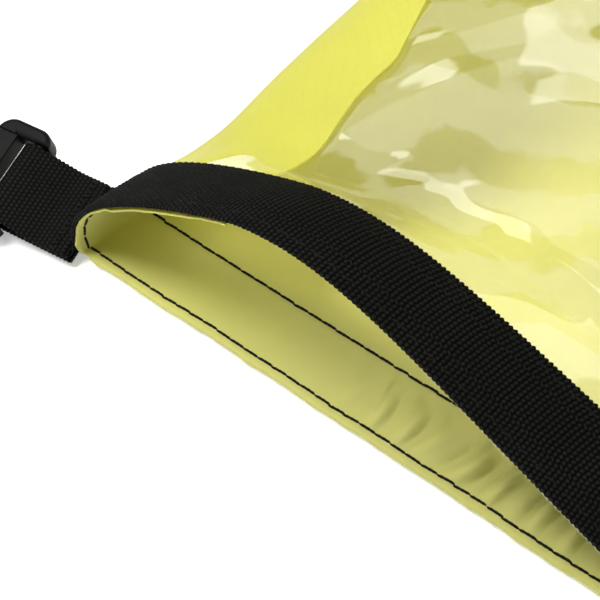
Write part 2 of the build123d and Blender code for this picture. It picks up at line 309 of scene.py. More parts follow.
def sheet_object(name, outer, inner, uv, mats):
    """Closed thin sheet between an outer and an inner grid; a second material goes inside."""
    rows, cols = outer.shape[:2]
    count = rows * cols
    verts = np.concatenate([outer.reshape(-1, 3), inner.reshape(-1, 3)])
    top = quads(rows, cols, 0)
    under = quads(rows, cols, count, flip=True)
    first = np.arange(cols)
    last = first + (rows - 1) * cols
    left = np.arange(rows) * cols
    right = left + cols - 1
    rim = []
    for line, turned in ((first, True), (last, False), (left, False), (right, True)):
        a, b = line[:-1], line[1:]
        side = [a, b, b + count, a + count]
        if not turned:
            side = side[::-1]
        rim.append(np.stack(side, axis=-1)[:, ::-1])
    faces = np.concatenate([top, under] + rim)
    slots = np.zeros(len(faces), int)
    slots[len(top) : len(top) + len(under)] = min(1, len(mats) - 1)
    flat = range(len(top) + len(under), len(faces))
    both = np.concatenate([uv.reshape(-1, 2)] * 2)
    return to_object(name, verts, faces.tolist(), mats, slots, both, flat)


# ---- Materials ----


class Shades:
    """Short hand for a material's nodes."""

    def __init__(self, name):
        self.mat = bpy.data.materials.new(name)
        self.mat.use_nodes = True
        self.tree = self.mat.node_tree
        self.tree.nodes.clear()
        self.out = self.tree.nodes.new("ShaderNodeOutputMaterial")

    def node(self, kind, sockets=(), **settings):
        made = self.tree.nodes.new("ShaderNode" + kind)
        for key, value in settings.items():
            setattr(made, key, value)
        for key, value in dict(sockets).items():
            if hasattr(value, "is_output"):
                self.tree.links.new(value, made.inputs[key])
            else:
                made.inputs[key].default_value = value
        return made

    def math(self, operation, *values):
        made = self.node("Math", {i: v for i, v in enumerate(values)}, operation=operation)
        return made.outputs[0]

    def mix(self, share, low, high):
        made = self.node("Mix", {0: share, 6: low, 7: high}, data_type="RGBA")
        return made.outputs[2]

    def uv(self, scale=(1, 1, 1), turn=0.0):
        place = self.node("UVMap")
        made = self.node("Mapping", {"Vector": place.outputs[0], "Scale": scale, "Rotation": (0, 0, turn)})
        return made.outputs[0]

    def noise(self, vector, scale, detail=3.0, rough=0.55):
        made = self.node("TexNoise", {"Vector": vector, "Scale": scale, "Detail": detail, "Roughness": rough})
        return made.outputs[0]

    def ramp(self, value, low, high, to_low=0.0, to_high=1.0):
        sockets = {0: value, 1: low, 2: high, 3: to_low, 4: to_high}
        return self.node("MapRange", sockets, interpolation_type="SMOOTHSTEP").outputs[0]

    def bump(self, height, strength, distance, under=None):
        sockets = {"Height": height, "Strength": strength, "Distance": distance}
        if under is not None:
            sockets["Normal"] = under
        return self.node("Bump", sockets).outputs[0]

    def finish(self, shader):
        self.tree.links.new(shader, self.out.inputs[0])
        return self.mat


def lines(s, axis, pitch, width):
    """1 on thin lines across an axis and 0 between them."""
    part = s.math("PINGPONG", axis, pitch / 2)
    return s.ramp(part, 0.0, width, 1.0, 0.0)


def ripstop(name, colour, line_colour, roughness, weave_depth, line_depth):
    """Coated ripstop: a fine plain weave with a grid of thicker threads set corner-wise."""
    s = Shades(name)
    turned = s.node("SeparateXYZ", {0: s.uv(turn=math.radians(45))})
    plain = s.node("SeparateXYZ", {0: s.uv()})
    grid_pitch, line_width = 2.9 * mm, 0.34 * mm
    grid = s.math("MAXIMUM", *(lines(s, turned.outputs[i], grid_pitch, line_width) for i in (0, 1)))
    thread = 2 * math.pi / (0.42 * mm)
    warp = s.math("SINE", s.math("MULTIPLY", plain.outputs[0], thread))
    weft = s.math("SINE", s.math("MULTIPLY", plain.outputs[1], thread))
    weave = s.math("MULTIPLY", warp, weft)
    broad = s.noise(s.uv(), 34.0, 4.0)
    fine = s.noise(s.uv(), 900.0, 2.0)
    tone = s.mix(s.ramp(broad, 0.3, 0.7), colour, [c * 0.93 for c in colour[:3]] + [1])
    tone = s.mix(s.math("MULTIPLY", grid, 0.4), tone, line_colour)
    rough = s.math("ADD", s.math("MULTIPLY", fine, 0.1), roughness - 0.05)
    normal = s.bump(weave, weave_depth, 0.03 * mm)
    normal = s.bump(grid, line_depth, 0.06 * mm, normal)
    normal = s.bump(broad, 0.25, 0.5 * mm, normal)
    shader = s.node(
        "BsdfPrincipled",
        {
            "Base Color": tone,
            "Roughness": rough,
            "Normal": normal,
            "Specular IOR Level": 0.4,
            "Sheen Weight": 0.12,
        },
    )
    glow = s.node("BsdfTranslucent", {0: (0.86, 0.82, 0.16, 1)})
    whole = s.node("MixShader", {0: 0.24, 1: shader.outputs[0], 2: glow.outputs[0]})
    return s.finish(whole.outputs[0])


def film_haze_and_painted_reflection(s):
    """The film's slight even haze, plus painted reflection: pale swirls where the film stands off the cloth
    near the mouth, fading towards the base.
    """
    place = s.node("SeparateXYZ", {0: s.uv()})
    slant = math.radians(-22)
    drift = s.noise(s.uv(scale=(0.8, 1.0, 1), turn=slant), 26.0, 1.0)
    bent = s.math("ADD", s.math("MULTIPLY", place.outputs[1], 290.0), s.math("MULTIPLY", drift, 14.0))
    bands = s.math("SINE", s.math("ADD", bent, s.math("MULTIPLY", place.outputs[0], -105.0)))
    wisps = s.noise(s.uv(scale=(0.55, 1.0, 1), turn=slant), 100.0, 2.0)
    # Painted reflection: pale swirl bands of diffuse haze that stand in for the film's sheen
    painted_reflection_swirl = s.ramp(s.math("ADD", s.math("MULTIPLY", bands, 0.2), wisps), 0.36, 0.5, -0.06, 0.11)
    near = s.ramp(place.outputs[1], 0.075, 0.15, 1.0, 0.2)
    return s.math("ADD", s.math("MULTIPLY", painted_reflection_swirl, near), 0.09)


def clear_film():
    """Clear flexible film: see-through, glossy, with a little haze, painted pale reflection in swirls near
    the mouth, and fine scuffs.
    """
    s = Shades("clear_film")
    facing = s.node("LayerWeight", {0: 0.5}).outputs[1]
    edge_on = s.math("POWER", facing, 5.0)
    share = s.math("ADD", s.math("MULTIPLY", edge_on, 0.85), 0.052)
    soft = s.noise(s.uv(), 55.0, 2.0)
    scuff = s.noise(s.uv(scale=(1, 0.25, 1)), 1500.0, 4.0)
    normal = s.bump(soft, 0.35, 0.3 * mm)
    through = s.node("BsdfTransparent", {0: (0.985, 0.975, 0.84, 1)})
    # One diffuse layer carries both the film's real haze and the painted pale reflection
    haze_layer_with_painted_reflection = s.node("BsdfDiffuse", {0: (0.93, 0.92, 0.70, 1)})
    haze_scuff_painted_reflection_share = s.math("ADD", film_haze_and_painted_reflection(s), s.ramp(scuff, 0.45, 0.75, 0.0, 0.03))
    body = s.node("MixShader", {0: haze_scuff_painted_reflection_share, 1: through.outputs[0], 2: haze_layer_with_painted_reflection.outputs[0]})
    gloss = s.node("BsdfGlossy", {"Color": (1, 1, 1, 1), "Roughness": 0.07, "Normal": normal})
    whole = s.node("MixShader", {0: share, 1: body.outputs[0], 2: gloss.outputs[0]})
    # The sheet's far face adds nothing, and light reaches the cloth beneath undimmed
    leaving = s.node("NewGeometry").outputs["Backfacing"]
    shadow = s.node("LightPath").outputs["Is Shadow Ray"]
    skipped = s.math("MAXIMUM", leaving, shadow)
    clear = s.node("BsdfTransparent")
    once = s.node("MixShader", {0: skipped, 1: whole.outputs[0], 2: clear.outputs[0]})
    return s.finish(once.outputs[0])


def webbing_cloth():
    """Black woven webbing: painted shade in the gaps round each bead, and fine yarns along the beads."""
    s = Shades("black_webbing")
    place = s.node("SeparateXYZ", {0: s.uv()})
    across, over = place.outputs[0], place.outputs[1]
    ribs = s.math("ABSOLUTE", s.math("SINE", s.math("MULTIPLY", across, math.pi / rib)))
    row = s.math("FLOORED_MODULO", s.math("FLOOR", s.math("DIVIDE", across, rib)), 2.0)
    count = s.math("ADD", s.math("DIVIDE", over, bead), s.math("MULTIPLY", row, 0.5))
    beads = s.math("ABSOLUTE", s.math("SINE", s.math("MULTIPLY", count, math.pi)))
    raised = s.math("MULTIPLY", ribs, s.math("ADD", s.math("MULTIPLY", beads, 0.75), 0.25))
    yarn = s.math("SINE", s.math("MULTIPLY", over, 2 * math.pi / (0.3 * mm)))
    fuzz = s.noise(s.uv(), 2600.0, 3.0)
    broad = s.noise(s.uv(), 60.0, 3.0)
    dark, light = (0.0085, 0.0088, 0.0068, 1), (0.0125, 0.0128, 0.0100, 1)
    tone = s.mix(s.ramp(broad, 0.25, 0.75), dark, light)
    # Painted shade: near black where the weave is low, in the gaps round each bead
    tone = s.mix(s.ramp(raised, 0.25, 0.85, 1.0, 0.0), tone, (0.0005, 0.0005, 0.0004, 1))
    tone = s.mix(s.ramp(fuzz, 0.6, 0.9, 0.0, 0.4), tone, (0.022, 0.022, 0.019, 1))
    normal = s.bump(raised, 0.6, 0.25 * mm)
    normal = s.bump(yarn, 0.45, 0.04 * mm, normal)
    normal = s.bump(fuzz, 0.4, 0.04 * mm, normal)
    shader = s.node(
        "BsdfPrincipled",
        {
            "Base Color": tone,
            "Roughness": s.ramp(fuzz, 0.2, 0.8, 0.6, 0.78),
            "Normal": normal,
            "Specular IOR Level": 0.12,
        },
    )
    return s.finish(shader.outputs[0])


def thread_cloth():
    """Bonded black thread with its twist, and painted shade between its plies."""
    s = Shades("sewing_thread")
    place = s.node("SeparateXYZ", {0: s.uv()})
    around = s.math("MULTIPLY", place.outputs[1], 6.0)
    twist = s.math("SINE", s.math("ADD", s.math("MULTIPLY", place.outputs[0], 9000.0), around))
    # Painted shade: darker where the twist runs low, between the plies
    tone = s.mix(s.ramp(twist, -1.0, 1.0), (0.004, 0.004, 0.003, 1), (0.014, 0.014, 0.011, 1))
    shader = s.node(
        "BsdfPrincipled",
        {
            "Base Color": tone,
            "Roughness": 0.6,
            "Normal": s.bump(twist, 0.6, 0.05 * mm),
            "Specular IOR Level": 0.15,
        },
    )
    return s.finish(shader.outputs[0])


def moulded_plastic():
    """Black acetal with a fine spark-eroded mould grain and slight handling polish."""
    s = Shades("buckle_plastic")
    place = s.node("TexCoord").outputs[3]
    grain = s.noise(place, 5200.0, 2.0)
    broad = s.noise(place, 140.0, 3.0)
    rough = s.ramp(broad, 0.3, 0.7, 0.36, 0.48)
    dark, light = (0.0040, 0.0042, 0.0038, 1), (0.0068, 0.0070, 0.0064, 1)
    tone = s.mix(s.ramp(broad, 0.2, 0.8), dark, light)
    normal = s.bump(grain, 0.35, 0.03 * mm)
    shader = s.node(
        "BsdfPrincipled",
        {"Base Color": tone, "Roughness": rough, "Normal": normal, "Specular IOR Level": 0.12},
    )
    return s.finish(shader.outputs[0])


def tape_plastic():
    """Matt welded seam tape with a fine cloth print."""
    s = Shades("seam_tape")
    place = s.node("SeparateXYZ", {0: s.uv()})
    wave = 2 * math.pi / (0.6 * mm)
    print_x = s.math("SINE", s.math("MULTIPLY", place.outputs[0], wave))
    print_y = s.math("SINE", s.math("MULTIPLY", place.outputs[1], wave))
    broad = s.noise(s.uv(), 90.0, 3.0)
    tone = s.mix(s.ramp(broad, 0.3, 0.7), (0.68, 0.66, 0.24, 1), (0.62, 0.60, 0.2, 1))
    normal = s.bump(s.math("MULTIPLY", print_x, print_y), 0.4, 0.04 * mm)
    shader = s.node("BsdfPrincipled", {"Base Color": tone, "Roughness": 0.5, "Normal": normal})
    return s.finish(shader.outputs[0])


outside_colours = (0.82, 0.80, 0.125, 1), (0.75, 0.73, 0.10, 1)
# The inside coat has its own paler colour, painted brighter than that to stand in for light inside the bag
inside_colours_painted_bright = (0.84, 0.825, 0.27, 1), (0.82, 0.805, 0.26, 1)
outside_mat = ripstop("coated_ripstop", *outside_colours, 0.5, 0.3, 0.4)
inside_mat_painted_bright = ripstop("coated_inside", *inside_colours_painted_bright, 0.42, 0.08, 0.15)
film_mat = clear_film()
web_mat = webbing_cloth()
thread_mat = thread_cloth()
plastic_mat = moulded_plastic()
tape_mat = tape_plastic()

# ---- Camera, light and floor ----

scene = bpy.context.scene
camera = bpy.data.objects.new("camera", bpy.data.cameras.new("camera"))
scene.collection.objects.link(camera)
camera.data.lens = 78
camera.data.sensor_width = 36
camera.location = (96.5 * mm, -161.8 * mm, 275.4 * mm)
aim = Vector((-44.2 * mm, 12 * mm, 2.2 * mm)) - camera.location
camera.rotation_euler = aim.to_track_quat("-Z", "Y").to_euler()
camera.data.clip_start = 0.01
scene.camera = camera
scene.view_settings.view_transform = "Standard"

world = bpy.data.worlds.new("studio")
world.use_nodes = True
world.node_tree.nodes["Background"].inputs[0].default_value = (1, 1, 1, 1)
world.node_tree.nodes["Background"].inputs[1].default_value = 0.08
scene.world = world
light_aim = Vector((0, 0.06, 0.03))


def softbox(name, towards, distance, size, power, lights=True, shows=True):
    """Soft light that faces the mouth from a direction; it may light, show in gloss, or both."""
    light = bpy.data.lights.new(name, "AREA")
    light.shape = "RECTANGLE"
    light.size, light.size_y = size
    light.energy = power
    lamp = bpy.data.objects.new(name, light)
    scene.collection.objects.link(lamp)
    way = Vector(towards).normalized()
    lamp.location = light_aim + way * distance
    lamp.rotation_euler = (-way).to_track_quat("-Z", "Y").to_euler()
    lamp.visible_camera = False
    lamp.visible_diffuse = lights
    lamp.visible_glossy = shows


softbox("key_light", (-0.44, -0.29, 0.85), 1.0, (0.42, 0.42), 9.6, shows=False)
softbox("side_light", (0.60, 0.16, 0.78), 1.2, (0.5, 0.5), 6.8, shows=False)
softbox("window_card", (-0.38, -0.16, 0.90), 1.0, (0.50, 0.54), 3.9, lights=False)
softbox("small_card", (-0.80, -0.20, 0.57), 1.1, (0.16, 0.14), 0.4, lights=False)
softbox("front_card", (-0.42, -0.68, 0.60), 1.3, (1.5, 1.0), 6.5, lights=False)
softbox("back_card", (0.31, 0.58, 0.76), 1.3, (0.7, 0.5), 3.0, lights=False)

ground = bpy.data.meshes.new("floor")
floor_half = 20.0
corners = [(-1, -1), (1, -1), (1, 1), (-1, 1)]
ground.from_pydata([(floor_half * x, floor_half * y, 0) for x, y in corners], [], [(0, 1, 2, 3)])
floor = bpy.data.objects.new("floor", ground)
floor.location.z = -0.15 * mm
scene.collection.objects.link(floor)
pale = Shades("floor")
pale_shader = pale.node(
    "BsdfPrincipled",
    {
        "Base Color": (0.85, 0.85, 0.845, 1),
        "Roughness": 0.9,
        "Emission Color": (1, 1, 1, 1),
        "Emission Strength": 0.4,
    },
)
ground.materials.append(pale.finish(pale_shader.outputs[0]))

# ---- Surfaces of the bag ----

rows_v = np.concatenate(
    [
        np.arange(0, 70, 1.25),
        np.arange(70, 130, 1.75),
        np.arange(130, bag_length / mm - 2, 2.5),
        [bag_length / mm],
    ]
) * mm


def surface(rows, section, count):
    """Grid of points of one section function over rows, before any folds."""
    cuts = []
    for v in rows:
        flat = along(section(v), np.linspace(0, 1, count))
        cuts.append(np.column_stack([flat[:, 0], np.full(count, mouth_y + v), flat[:, 1]]))
    return np.array(cuts)


def film_section(v):
    """The film's line at a distance from the mouth, from left to right."""
    return along(front_path(v), np.linspace(film_share, 1 - film_share, 200))


def fabric_section(v):
    """Right strip down to its side line, the back panel, and the left strip up again."""
    right = along(front_path(v), np.linspace(1 - share_at(right_strip, v), 1, 90))
    under = along(back_path(v), np.linspace(0, 1, 420))
    left = along(front_path(v), np.linspace(0, share_at(left_strip, v), 90))
    whole = np.concatenate([right, under[1:-1], left])
    even = along(whole, np.linspace(0, 1, 560))
    return smooth_rows(even, 1.2 + 1.2 * step(0, 20 * mm, v))


def soften_fold(grid, rows):
    """Rounds the crease that the fold line leaves in a surface."""
    near = bump_at(rows, fold_distance, 19 * mm)[:, None, None]
    even = np.linspace(rows[0], rows[-1], 600)
    flat = grid.reshape(len(rows), -1)
    fine = np.stack([np.interp(even, rows, flat[:, i]) for i in range(flat.shape[1])], axis=1)
    fine = smooth_rows(fine, 11.0)
    soft = np.stack([np.interp(rows, even, fine[:, i]) for i in range(flat.shape[1])], axis=1)
    soft = soft.reshape(grid.shape)
    return grid + (soft - grid) * near


def crease(x, v, points, width, sharp):
    """0 to 1 over a crease that follows a line through points, in millimetres."""
    line = np.array(points, float)
    t = np.interp(x, line[:, 0], line[:, 1])
    ends = step(line[0, 0], line[0, 0] + 14, x) * (1 - step(line[-1, 0] - 14, line[-1, 0], x))
    return ends * np.exp(-((np.abs(v - t) / width) ** sharp))


def film_folds(x, v):
    """Height of the film's soft folds in millimetres; x runs from the left corner."""
    warp = 9 * noise(x / 46, v / 40, 3)
    across = v - 0.42 * (x - 50)
    waves = noise(x / 44 + 0.3, (across + warp) / 15, 5)
    fine = noise(x / 21, (across + 0.5 * warp) / 8.5, 8)
    broad = noise(x / 60 + 4, v / 62, 11)
    slack = step(26, 40, v) * (1 - 0.72 * step(95, 170, v))
    body = step(30, 60, v)
    height = 1.2 * waves * slack + 0.3 * fine * slack + 2.0 * broad * body
    dip = [(30, 49), (60, 46), (90, 48), (140, 45), (190, 46)]
    long_crease = [(42, 47), (65, 49), (76, 56), (86, 63), (96, 69), (125, 84)]
    short_crease = [(60, 40), (85, 52), (104, 57), (140, 62)]
    height -= 0.5 * crease(x, v, dip, 8, 2)
    height += 0.4 * crease(x, v, long_crease, 2.0, 1.2)
    height += 0.4 * crease(x, v, short_crease, 2.2, 1.3)
    return height


def fabric_folds(x, v, under):
    """Height of the cloth's folds in millimetres. under is 1 on the back panel."""
    broad = noise(x / 52 + 7, v / 48, 21)
    waves = noise(x / 23, (v + 8 * noise(x / 40, v / 40, 24)) / 19, 22)
    fine = noise(x / 9, v / 11, 23)
    body = step(28, 60, v)
    top = 1.0 * broad * body + 0.5 * waves * body + 0.12 * fine * step(26, 34, v)
    lying = 0.25 * broad * body + 0.2 * waves * body
    return top * (1 - under) + lying * under


def puckers(x, v):
    """Height of the puckers that the stitches draw in the back panel, deeper to the right."""
    pitch = 8.5
    phase = x / pitch + 0.8 * noise(x / 30, v / 30, 31)
    ridge = (0.5 + 0.5 * np.sin(2 * math.pi * phase)) ** 1.6 + 0.3 * np.sin(2 * math.pi * phase * 1.7 + 1)
    grow = (0.06 + 0.94 * step(70, 115, x)) * (1 - step(184, 198, x))
    return ridge * grow * 3.6 * bump_at(v, 14, 7)


def ragged(x, seed, amount):
    """Unevenness of a cut edge, in metres."""
    return amount * (noise(x / 6, x * 0 + 0.5, seed) + 0.5 * noise(x / 2.1, x * 0 + 0.2, seed + 1))


v_mm = rows_v[:, None] / mm

# The film
film_cols = 118
film_grid = soften_fold(surface(rows_v, film_section, film_cols), rows_v)
film_x = (film_grid[:, :, 0] + mouth_half) / mm
film_u = np.linspace(0, 1, film_cols)
held = step(0, 0.09, film_u) * (1 - step(0.91, 1, film_u))
at_base = 1 - step(bag_length / mm - 40, bag_length / mm, v_mm)
film_lift = film_folds(film_x, np.broadcast_to(v_mm, film_x.shape)) * held[None, :] * at_base
film_n = normals_of(film_grid)
film_grid = film_grid + film_n * film_lift[:, :, None] * mm
film_n = normals_of(film_grid)
# Its cut edge lies a little behind the webbing's, except in two places
set_back = (1 - bump_at(film_x[:1], 73, 6)) * (1 - step(104, 116, film_x[:1]))
film_grid[:, :, 1] += 1.1 * mm * set_back * np.maximum(1 - v_mm / 6, 0)
film_grid[0, :, 1] += ragged(film_x[0], 41, 0.22 * mm)
# It laps over the strips near the webbing, and under them further back
on_top = 1 - step(34, 42, v_mm)
film_shares = np.linspace(film_share, 1 - film_share, film_cols)
past_left = film_shares - share_at(left_strip, rows_v)[:, None]
past_right = 1 - film_shares - share_at(right_strip, rows_v)[:, None]
lapped = (2 - step(-0.012, 0.006, past_left) - step(-0.012, 0.006, past_right)) * step(58, 80, v_mm)
film_depth = ((fabric_thick + layer_gap) * (1 - on_top) + 1.1 * mm * lapped)[:, :, None]
film_outer = film_grid - film_n * film_depth
film_inner = film_grid - film_n * (film_depth + film_thick)
film_width = (1 - 2 * film_share) * front_width
film_run = np.linspace(0, film_width, film_cols)
film_uv = np.stack(np.broadcast_arrays(film_run[None, :], rows_v[:, None]), axis=-1)
window = sheet_object("window_film", film_outer, film_inner, film_uv, [film_mat])
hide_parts("clear_window", "mouth_window")

# The coated cloth
cloth_cols = 400
cloth_grid = soften_fold(surface(rows_v, fabric_section, cloth_cols), rows_v)
cloth_x = (cloth_grid[:, :, 0] + mouth_half) / mm
cloth_n = normals_of(cloth_grid)
lying = step(0.3, 0.8, -cloth_n[:, :, 2])
share_u = np.linspace(0, 1, cloth_cols)[None, :]
free = step(0, 0.02, share_u) * (1 - step(0.98, 1, share_u))
cloth_v = np.broadcast_to(v_mm, cloth_x.shape)
lift = fabric_folds(cloth_x, cloth_v, lying) * at_base
cloth_grid = cloth_grid + cloth_n * (lift * (0.35 + 0.65 * free))[:, :, None] * mm
# Near the webbing the strips are sunk beneath the film
left_edge, right_edge = film_x[:, :1], film_x[:, -1:]
beneath = step(left_edge - 3, left_edge - 0.5, cloth_x)
beneath = beneath * (1 - step(right_edge + 0.5, right_edge + 3, cloth_x))
beneath = beneath * on_top * (1 - step(0.0, 0.3, -cloth_n[:, :, 2]))
cloth_grid -= cloth_n * beneath[:, :, None] * (film_thick + layer_gap)
cloth_grid[:, :, 2] += 0.9 * np.abs(puckers(cloth_x, cloth_v) * lying) * mm
cloth_n = normals_of(cloth_grid)
cloth_run = np.linspace(0, cloth_width, cloth_cols)
# The cut edge is trimmed unevenly
trim = 1.3 * mm * lying * np.maximum(1 - v_mm / 12, 0)
wavy = 0.7 * mm * noise(cloth_x / 26, 0 * cloth_x + 0.4, 45) * np.maximum(1 - v_mm / 20, 0)
cloth_grid[:, :, 1] += trim + wavy * lying
cut = ragged(cloth_run / mm, 43, 1.0 * mm)
cloth_grid[0, :, 1] += cut * (0.3 + 0.5 * bump_at(cloth_x[0], 0, 9))
cloth_outer = cloth_grid
cloth_inner = cloth_grid - cloth_n * fabric_thick
cloth_grid[:, :, 2] = np.maximum(cloth_grid[:, :, 2], 0)
cloth_uv = np.stack(np.broadcast_arrays(cloth_run[None, :], rows_v[:, None]), axis=-1)
cloth = sheet_object("bag_cloth", cloth_outer, cloth_inner, cloth_uv, [outside_mat, inside_mat_painted_bright])
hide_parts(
    "back_panel",
    "left_side_strip",
    "right_side_strip",
    "mouth_back_panel",
    "mouth_left_strip",
    "mouth_right_strip",
)

# Both, already bent softly across the fold, get their placement baked into their points
for soft in (window, cloth):
    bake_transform(soft)

# ---- Webbing ----

def weave_height(s, w, width):
    """Height of the webbing's woven face: ribs across it, each a row of beads."""
    row = np.floor(s / rib)
    across = np.abs(np.sin(math.pi * s / rib)) ** 0.8
    beads = np.abs(np.sin(math.pi * (w / bead + 0.5 * (row % 2)))) ** 0.7
    edge = 1 - np.clip((np.abs(w) - width / 2 + 0.9 * mm) / (0.9 * mm), 0, 1) ** 2
    relief = 0.5 * mm * (across * (0.25 + 0.75 * beads) - 1)
    return relief + 0.5 * mm * (np.sqrt(np.maximum(edge, 0)) - 1)


def scallop(s, w, width):
    """Sideways move of the woven edge, which is notched between the ribs."""
    notch = 0.4 * mm * (np.abs(np.sin(math.pi * s / rib)) - 1)
    return np.sign(w) * notch * np.clip((np.abs(w) / (width / 2)) ** 6, 0, 1)


def webbing(name, centre, s):
    """Woven band over a grid of centre points, s along it and w_steps across it."""
    n = normals_of(centre)
    across = np.gradient(centre, axis=0)
    across /= np.linalg.norm(across, axis=2, keepdims=True)
    ss, ww = np.broadcast_arrays(s[None, :], w_steps[:, None])
    middle = centre + across * scallop(ss, ww, web_width)[:, :, None]
    above = web_thick / 2 + weave_height(ss, ww, web_width)
    below = web_thick / 2 - 0.05 * mm + 0.3 * weave_height(ss + rib / 2, ww, web_width)
    top = middle + n * above[:, :, None]
    bottom = middle - n * below[:, :, None]
    uv = np.stack([ss, ww], axis=-1)
    band = sheet_object(name, top, bottom, uv, [web_mat])
    return band


w_steps = np.linspace(-web_width / 2, web_width / 2, 84)

# Back webbing, flat under the mouth and a little behind the cloth's edge
back_shift = 1.3 * mm
s_back = np.arange(-mouth_half, mouth_half + 0.2 * mm, web_step)
xx, yy = np.meshgrid(s_back, w_steps)
back_grid = np.stack([xx, yy + back_shift, np.full_like(xx, web_thick / 2)], axis=-1)
back_band = webbing("back_webbing_band", back_grid, s_back)
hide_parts("back_webbing")
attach(back_band, "mouth_band")

# The straps' places: the left one is turned forward, and its rear edge is raised
strap_front = 17.5 * mm


def strap_frame(side, yaw, roll, lift):
    """Middle of a strap's start, and its directions out, across and up."""
    out = np.array([side * math.cos(yaw), -math.sin(yaw), 0])
    rear = np.array([side * math.sin(yaw), math.cos(yaw), 0])
    up = np.array([0, 0, 1.0])
    across = rear * math.cos(roll) + up * math.sin(roll)
    normal = up * math.cos(roll) - rear * math.sin(roll)
    middle = np.array([side * mouth_half, -strap_front, lift]) + across * web_width / 2
    return middle, out, across, normal


straps = {
    "left": strap_frame(-1, math.radians(8), math.radians(18), 1.2 * mm),
    "right": strap_frame(1, 0, 0, 0),
}
bar_reach = 26.5 * mm
bar_radius = 2.2 * mm
buckle_z = joints["female_buckle_pivot"]["pos_m"][2]
loop_radius = bar_radius + 0.3 * mm + web_thick / 2
low_layer = web_thick / 2
high_layer = 3 * web_thick / 2 + layer_gap


def strap_point(side, x, across, z):
    """Row frame points of a strap: x out along it, across towards the base, z off its back."""
    middle, out, rear, normal = straps[side]
    x, across, z = np.broadcast_arrays(x, across, z)
    return middle + x[..., None] * out + across[..., None] * rear + z[..., None] * normal


# Front webbing, up over the arch, with each end turned out flat onto its strap
flat_out = np.linspace(3.4 * mm, 0.9 * mm, 8)
front_lines = []
for w in w_steps:
    v = web_start + web_width / 2 + w
    arch = band_front(v)
    t = np.gradient(arch, axis=0)
    t /= np.linalg.norm(t, axis=1, keepdims=True)
    stand = layer_gap + web_thick / 2
    arch = arch + np.stack([-t[:, 1], t[:, 0]], axis=1) * stand
    arch = np.column_stack([arch[:, 0], np.full(len(arch), mouth_y + v), arch[:, 1]])
    left = strap_point("left", flat_out, w, high_layer)
    right = strap_point("right", flat_out[::-1], w, high_layer)
    keep = arch[arch[:, 2] > high_layer + 1.2 * mm]
    whole = np.concatenate([left, keep, right])
    even = along(whole, np.linspace(0, 1, 900))
    front_lines.append(smooth_rows(even, 5.0))
front_lines = np.array(front_lines)
middle_line = front_lines[len(w_steps) // 2]
front_length = np.linalg.norm(np.diff(middle_line, axis=0), axis=1).sum()
s_front = np.arange(0, front_length, web_step)
shares = np.linspace(0, 1, len(s_front))
front_grid = np.stack([along(line, shares) for line in front_lines])
front_band = webbing("front_webbing_band", front_grid, s_front)
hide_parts("front_webbing")
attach(front_band, "mouth_band")


def strap_line():
    """Middle line of a strap from its lower layer, round the bar and back, as (x, z)."""
    turn = np.linspace(-math.pi / 2, math.pi / 2, 40)
    loop_out = bar_reach + (loop_radius + 1.1 * mm) * np.cos(turn)
    loop = np.stack([loop_out, buckle_z + loop_radius * np.sin(turn)], axis=1)
    low = np.array([(0.4 * mm, low_layer), (4 * mm, low_layer)])
    high = np.array([(12 * mm, high_layer), (2.6 * mm, high_layer)])
    line = along(np.concatenate([low, loop, high]), np.linspace(0, 1, 500))
    return smooth_rows(line, 6.0)


def strap(side, node):
    """One looped strap, woven like the rest of the webbing."""
    line = strap_line()
    length = np.linalg.norm(np.diff(line, axis=0), axis=1).sum()
    s = np.arange(0, length, web_step)
    line = along(line, np.linspace(0, 1, len(s)))
    grid = strap_point(side, line[None, :, 0], w_steps[:, None], line[None, :, 1])
    if side == "left":
        grid = grid[:, ::-1]
    band = webbing(side + "_strap_band", grid, s)
    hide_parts(node)
    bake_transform(band)


strap("left", "left_strap")
strap("right", "right_strap")

# ---- Stitches ----

thread_radius = 0.36 * mm
stitch_pitch = 4.8 * mm
stitch_length = 5.15 * mm


def stitches(name, places, body, node):
    """Twisted thread stitches. Each place is (middle, along, up, length)."""
    rings, sides = 13, 8
    radius = thread_radius
    verts, faces, uvs = [], [], []
    t = np.linspace(-1, 1, rings)
    around = np.linspace(0, 2 * math.pi, sides, endpoint=False)
    first = 0
    for middle, along_dir, up, length in places:
        side = np.cross(up, along_dir)
        bow = radius * (0.55 - 0.9 * np.abs(t) ** 3.0)
        thick = radius * (1 - 0.55 * np.abs(t) ** 8)
        for i in range(rings):
            ply = 1 + 0.12 * np.cos(2 * (around - 5.5 * t[i]))
            ring = (
                middle
                + along_dir * (t[i] * length / 2)
                + up * bow[i]
                + (np.cos(around) * thick[i] * ply)[:, None] * side
                + (np.sin(around) * thick[i] * ply)[:, None] * up
            )
            verts.append(ring)
            uvs.append(np.column_stack([np.full(sides, t[i] * length / 2), around / 6.0]))
        grid = first + np.arange(rings * sides).reshape(rings, sides)
        for i in range(rings - 1):
            for j in range(sides):
                k = (j + 1) % sides
                faces.append([grid[i, j], grid[i, k], grid[i + 1, k], grid[i + 1, j]])
        faces.append(list(grid[0, ::-1]))
        faces.append(list(grid[-1]))
        first += rings * sides
    verts = np.concatenate(verts)
    uvs = np.concatenate(uvs)
    faces = [[int(i) for i in face] for face in faces]
    thing = to_object(name, verts, faces, [thread_mat], np.zeros(len(faces), int), uvs)
    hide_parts(node)
    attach(thing, body)


def run_along(line):
    """Distance of each point of a line from its start."""
    return np.concatenate([[0], np.cumsum(np.linalg.norm(np.diff(line, axis=0), axis=1))])


